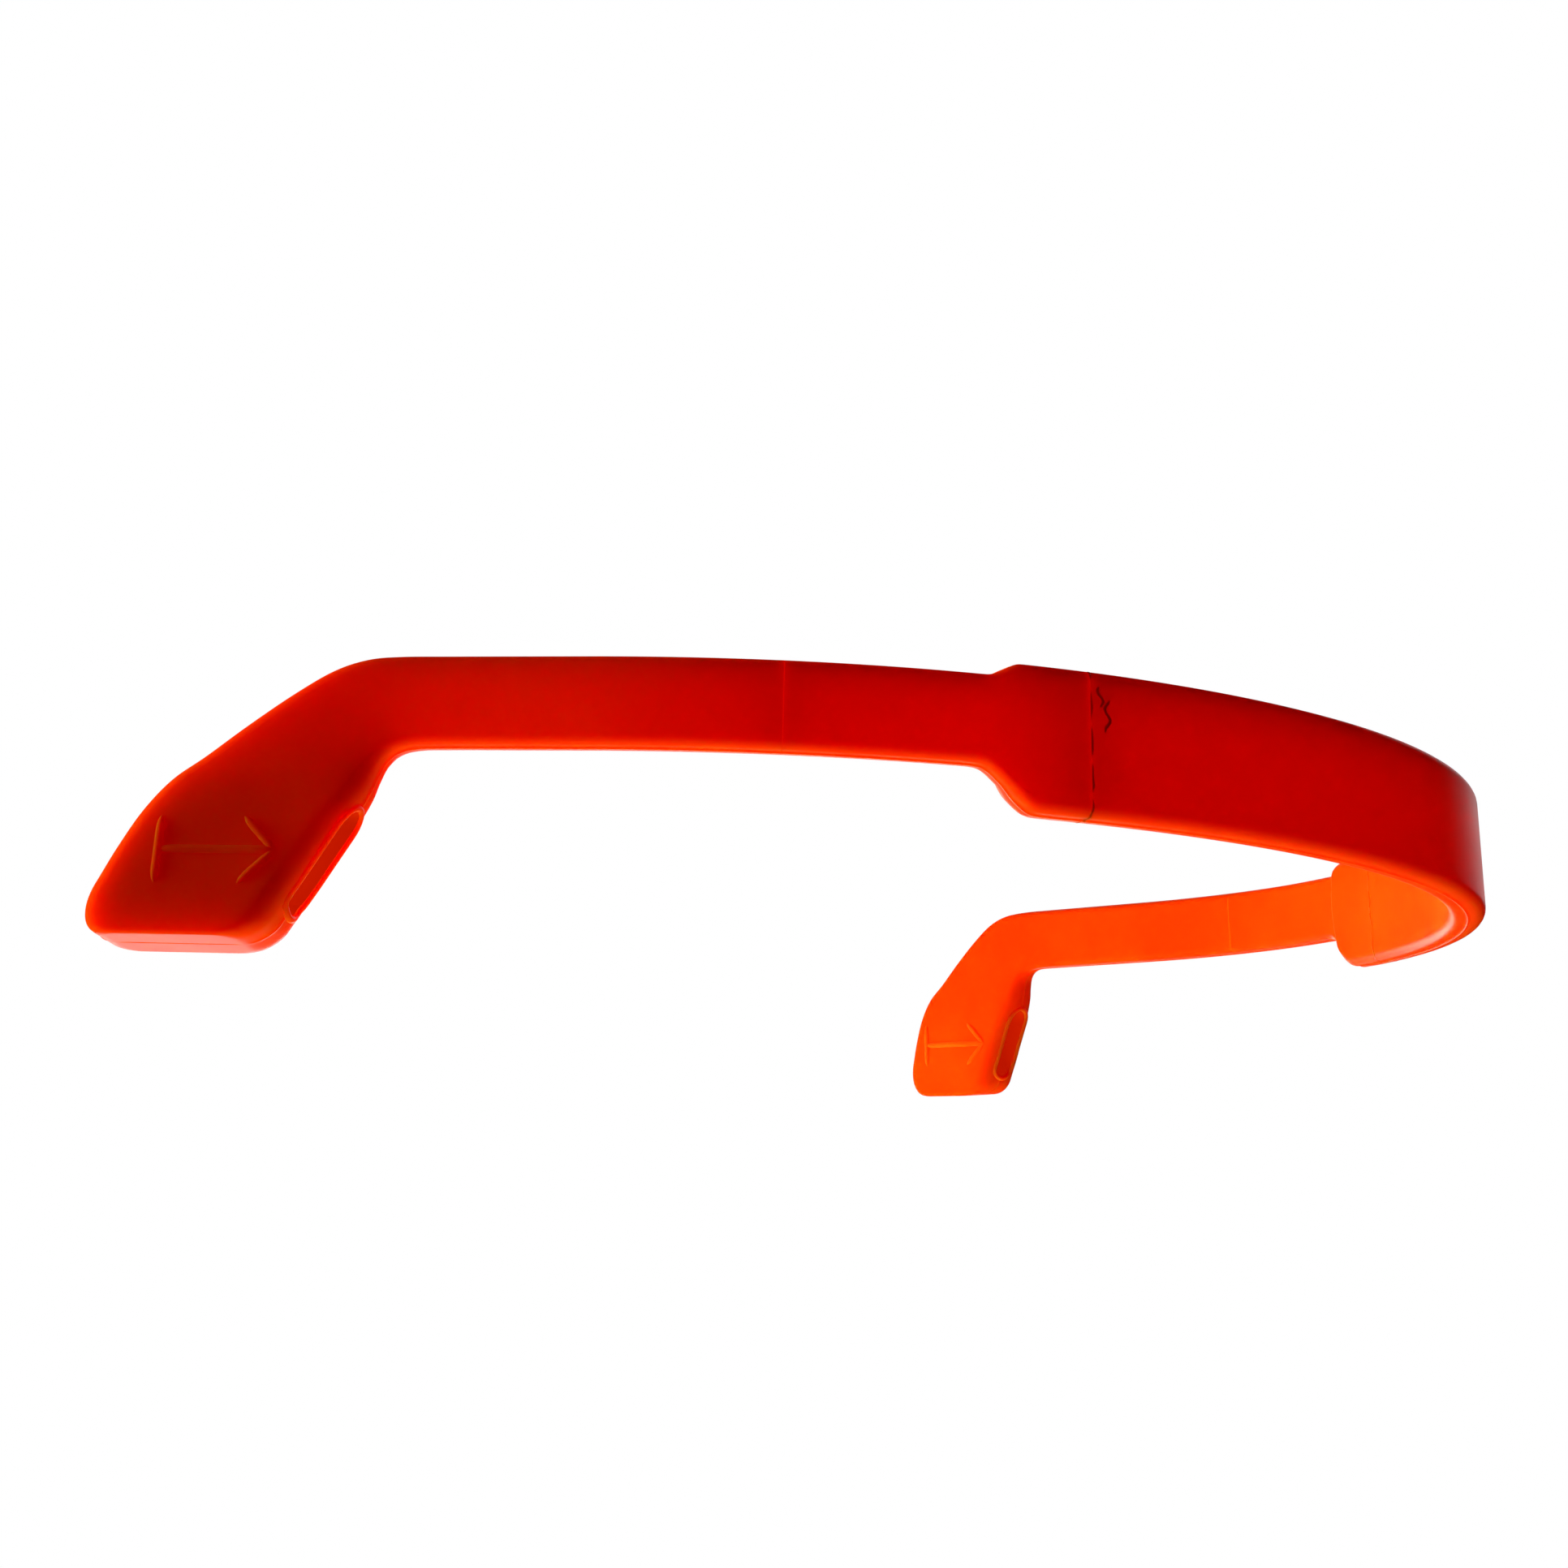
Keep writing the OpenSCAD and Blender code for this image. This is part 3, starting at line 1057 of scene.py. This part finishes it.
def make_material(kind):
    finish = bpy.context.scene.strap_finish
    silicone, deep, rough = finish.silicone, finish.deep_silicone, finish.roughness
    if kind == "silicone":
        return silicone_material("silicone", silicone, deep, rough)
    # The faces between joined pieces get a painted red glow
    if kind == "joining":
        return painted_glow_material("silicone joining face", deep, finish.painted_carried_light)
    # The passages' walls get painted shade and a painted red glow
    if kind == "passage":
        return painted_glow_material("passage wall", finish.passage, finish.painted_crossing_light)
    if kind == "bond":
        name = "bonding silicone"
        return silicone_material(name, finish.bond, silicone, BOND_ROUGHNESS, BOND_COAT)
    # The thin lines, lips and groove get the lighter colour, a painted highlight
    return silicone_material("thin raised silicone", finish.mark, silicone, rough)


def material_for(kind):
    """The material for that kind of face, made once."""
    if kind not in MATERIALS:
        MATERIALS[kind] = make_material(kind)
    return MATERIALS[kind]


def stand_for(piece, *nodes):
    """Hides the frame's parts that a piece stands for."""
    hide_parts(*nodes)


# ---------------------------------------------------------------- operators

SIDES = (("left", 1), ("right", -1))
LIMB_PARTS = ("side_band", "neck", "sleeve", "rear_lip", "front_lip", "outer_mark", "inner_mark")
# Distances to each side of a flex point at which the operators find points on the strap
BEND_REACH = 6.0
PAD_BEND_REACH = 20.0


class AddCentreBand(bpy.types.Operator):
    """Adds the centre of the pad"""

    bl_idname = "strap.add_centre_band"
    bl_label = "Centre band"

    def execute(self, context):
        piece = build_centre_band()
        stand_for(piece, "centre_band_left", "centre_band_right")
        strap_point(1, PAD_BEND_REACH)
        strap_point(-1, PAD_BEND_REACH)
        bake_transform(piece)
        return {"FINISHED"}


class AddPadEnds(bpy.types.Operator):
    """Adds the rear half of each arm: bond, pad's end, shoulder and half the side band"""

    bl_idname = "strap.add_pad_ends"
    bl_label = "Pad ends"

    def execute(self, context):
        for word, side in SIDES:
            piece = build_pad_end(f"{word}_arm_rear", side)
            stand_for(piece, f"{word}_pad_end", f"{word}_bond_seam")
            strap_point(side, SHOULDER_LENGTH - BEND_REACH)
            strap_point(side, SHOULDER_LENGTH + BEND_REACH)
            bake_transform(piece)
        return {"FINISHED"}


class AddLimbs(bpy.types.Operator):
    """Adds the front half of each arm: half the side band, neck and marked, hollow sleeve"""

    bl_idname = "strap.add_limbs"
    bl_label = "Necks and sleeves"

    def execute(self, context):
        for word, side in SIDES:
            piece = build_limb(f"{word}_arm_front", side)
            stand_for(piece, *(f"{word}_{part}" for part in LIMB_PARTS))
            strap_point(side, ARC_LENGTH - BEND_REACH)
            strap_point(side, ARC_LENGTH + BEND_REACH)
            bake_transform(piece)
        return {"FINISHED"}


# ---------------------------------------------------------------- stage

FLOOR_Z = -0.18
FLOOR_RADIUS = 0.9
FLOOR_STEPS = 96
# The floor's rings of points, as shares of its radius, and where it starts and ends fading out
FLOOR_RINGS = (0.35, 0.7, 1.0)
FADE_START = 0.3
FADE_END = FLOOR_RADIUS * 0.98
CAMERA_PLACE = Vector((0.22375, 0.08369, -0.02079))
CAMERA_YAW = math.radians(115.34)
CAMERA_PITCH = math.radians(10.355)
CAMERA_ROLL = math.radians(1.763)
# Where every light points
LIT_PLACE = (0.0, 0.0, 0.01)
# Name, the property with its power, place, width, height, and whether it only shows as a sheen
LIGHTS = (
    ("key light", "key", (0.28, -0.65, 0.05), 0.3, 0.4, False),
    ("fill light", "fill", (-0.55, -0.40, 0.0), 0.4, 0.4, False),
    ("under light", "under", (0.0, -0.05, -0.14), 0.15, 0.15, False),
    ("low sheen", "low_sheen", (-0.50, -0.36, -0.13), 0.4, 0.16, True),
    ("high sheen", "high_sheen", (-0.60, -0.12, 0.20), 0.5, 0.25, True),
)
ROOM_COLOUR = (1.0, 0.06, 0.02)


def add_camera(studio):
    camera = bpy.data.objects.new("camera", bpy.data.cameras.new("camera"))
    camera.data.sensor_width = 36
    camera.data.lens = studio.lens
    camera.data.clip_start = 0.005
    camera.data.clip_end = 50
    forward = Vector((
        -math.sin(CAMERA_YAW) * math.cos(CAMERA_PITCH),
        math.cos(CAMERA_YAW) * math.cos(CAMERA_PITCH),
        math.sin(CAMERA_PITCH),
    ))
    level_right = Vector((math.cos(CAMERA_YAW), math.sin(CAMERA_YAW), 0))
    level_up = level_right.cross(forward)
    right = math.cos(CAMERA_ROLL) * level_right + math.sin(CAMERA_ROLL) * level_up
    upward = -math.sin(CAMERA_ROLL) * level_right + math.cos(CAMERA_ROLL) * level_up
    turn = Matrix((right, upward, -forward)).transposed()
    camera.matrix_world = Matrix.Translation(CAMERA_PLACE) @ turn.to_4x4()
    bpy.context.scene.collection.objects.link(camera)
    bpy.context.scene.camera = camera


def add_panel(name, place, width, height, power, sheen):
    """Soft rectangular light that only lights, or one that only shows as a sheen."""
    lamp = bpy.data.objects.new(name, bpy.data.lights.new(name, "AREA"))
    lamp.data.shape = "RECTANGLE"
    lamp.data.size = width
    lamp.data.size_y = height
    lamp.data.energy = power
    lamp.location = place
    lamp.rotation_euler = (Vector(LIT_PLACE) - Vector(place)).to_track_quat("-Z", "Y").to_euler()
    lamp.visible_camera = False
    lamp.visible_glossy = sheen
    lamp.visible_diffuse = not sheen
    bpy.context.scene.collection.objects.link(lamp)


def add_floor():
    """Round pale floor that fades out towards its rim; only the camera sees it."""
    points = [(0, 0, FLOOR_Z)]
    faces = []
    for share in FLOOR_RINGS:
        radius = FLOOR_RADIUS * share
        for k in range(FLOOR_STEPS):
            angle = 2 * math.pi * k / FLOOR_STEPS
            points.append((radius * math.cos(angle), radius * math.sin(angle), FLOOR_Z))
    for k in range(FLOOR_STEPS):
        nxt = (k + 1) % FLOOR_STEPS
        faces.append((0, 1 + k, 1 + nxt))
        for ring in range(len(FLOOR_RINGS) - 1):
            low, high = 1 + ring * FLOOR_STEPS, 1 + (ring + 1) * FLOOR_STEPS
            faces.append((low + k, high + k, high + nxt, low + nxt))
    floor = add_piece("floor", points, faces)
    material = bpy.data.materials.new("pale floor")
    shader = Shader(material)
    places = shader.node("ShaderNodeTexCoord").out("Object")
    length = shader.node("ShaderNodeVectorMath", {"operation": "LENGTH"}, {0: places})
    fade = shader.rise(length.out("Value"), FADE_START, FADE_END, "SMOOTHSTEP")
    paper = shader.node("ShaderNodeBsdfDiffuse", {}, {"Color": (0.86, 0.86, 0.86, 1)})
    clear = shader.node("ShaderNodeBsdfTransparent")
    mixed = shader.node("ShaderNodeMixShader", {}, {0: fade, 1: paper, 2: clear})
    shader.node("ShaderNodeOutputMaterial", {}, {"Surface": mixed})
    floor.data.materials.append(material)
    floor.visible_diffuse = False
    floor.visible_glossy = False


def add_surround(studio):
    """White behind the strap for the camera, and a dim room for everything else."""
    world = bpy.data.worlds.new("studio")
    bpy.context.scene.world = world
    shader = Shader(world)
    seen = shader.node("ShaderNodeLightPath").out("Is Camera Ray")
    white = shader.node("ShaderNodeBackground", {}, {"Color": (1, 1, 1, 1), "Strength": 1.0})
    room = shader.node(
        "ShaderNodeBackground", {}, {"Color": rgba(ROOM_COLOUR), "Strength": studio.surround}
    )
    mixed = shader.node("ShaderNodeMixShader", {}, {0: seen, 1: room, 2: white})
    shader.node("ShaderNodeOutputWorld", {}, {"Surface": mixed})


class AddStudio(bpy.types.Operator):
    """Adds the camera, the pale floor and the soft lights"""

    bl_idname = "strap.add_studio"
    bl_label = "Studio"

    def execute(self, context):
        studio = context.scene.strap_studio
        context.scene.view_settings.view_transform = "Standard"
        add_camera(studio)
        add_floor()
        add_surround(studio)
        for name, power, place, width, height, sheen in LIGHTS:
            add_panel(name, place, width, height, getattr(studio, power), sheen)
        return {"FINISHED"}


STEPS = (AddCentreBand, AddPadEnds, AddLimbs, AddStudio)


class StrapPanel(bpy.types.Panel):
    """Sizes, finish and building steps of the strap"""

    bl_idname = "VIEW3D_PT_strap"
    bl_label = "Spectacle strap"
    bl_space_type = "VIEW_3D"
    bl_region_type = "UI"
    bl_category = "Strap"

    def draw(self, context):
        scene = context.scene
        for group in (scene.strap_sizes, scene.strap_finish, scene.strap_studio):
            box = self.layout.box()
            for name in group.__annotations__:
                box.prop(group, name)
        for step in STEPS:
            self.layout.operator(step.bl_idname)


GROUPS = (StrapSizes, StrapFinish, StrapStudio)


def register():
    for kind in GROUPS + STEPS + (StrapPanel,):
        bpy.utils.register_class(kind)
    bpy.types.Scene.strap_sizes = PointerProperty(type=StrapSizes)
    bpy.types.Scene.strap_finish = PointerProperty(type=StrapFinish)
    bpy.types.Scene.strap_studio = PointerProperty(type=StrapStudio)


def unregister():
    del bpy.types.Scene.strap_studio
    del bpy.types.Scene.strap_finish
    del bpy.types.Scene.strap_sizes
    for kind in reversed(GROUPS + STEPS + (StrapPanel,)):
        bpy.utils.unregister_class(kind)


def main():
    register()
    bpy.ops.strap.add_centre_band()
    bpy.ops.strap.add_pad_ends()
    bpy.ops.strap.add_limbs()
    bpy.ops.strap.add_studio()


if __name__ == "__main__":
    main()
